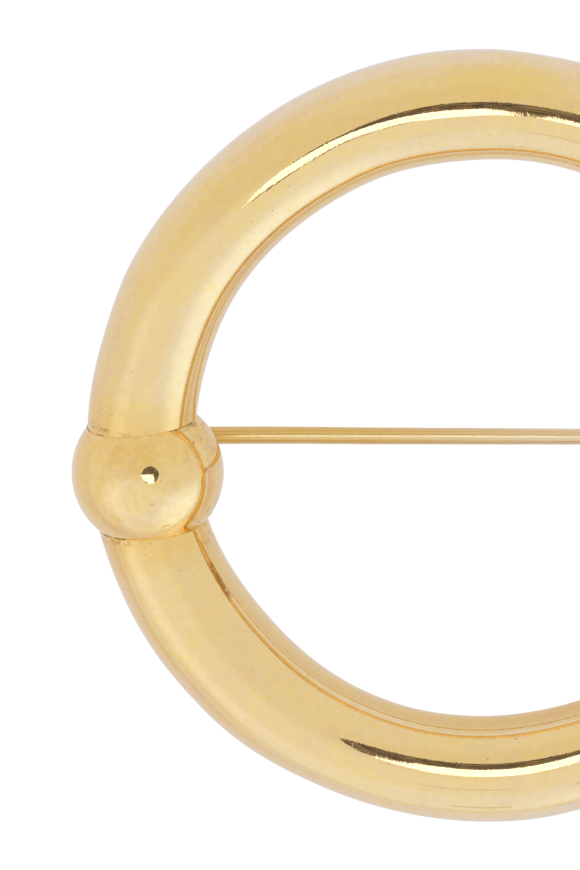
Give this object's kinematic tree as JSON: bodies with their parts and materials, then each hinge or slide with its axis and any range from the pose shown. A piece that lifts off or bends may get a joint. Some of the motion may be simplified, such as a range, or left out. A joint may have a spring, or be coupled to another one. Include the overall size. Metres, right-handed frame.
{
  "type": "circle pin brooch",
  "caption": "Round polished gold brooch: a hollow tube ring closed by a ball bead, with a hinged pin stem behind it that closes into a plain fork catch.",
  "frame": {"origin": "on the resting plane, under the middle of the brooch's outline", "axes": "+Z out of the brooch's face; +X along the pin stem from the hinge behind the bead to the catch; +Y across it"},
  "size_m": [0.046, 0.045, 0.0105],
  "materials": {
    "polished_gold": "polished yellow gold",
    "stem_gold": "drawn and polished gold wire",
    "rivet_gold": "peened gold wire"
  },
  "bodies": {
    "brooch": {"ring_and_bead": "polished_gold", "hinge_rivet": "rivet_gold"},
    "pin": {"pin_stem": "stem_gold"}
  },
  "joints": [
    {"name": "pin_hinge", "type": "hinge", "parent": "brooch", "child": "pin", "pos_m": [-0.0187, -0.00133, 0.00086], "axis": [0, 1, 0], "range_deg": [0, 90]}
  ]
}
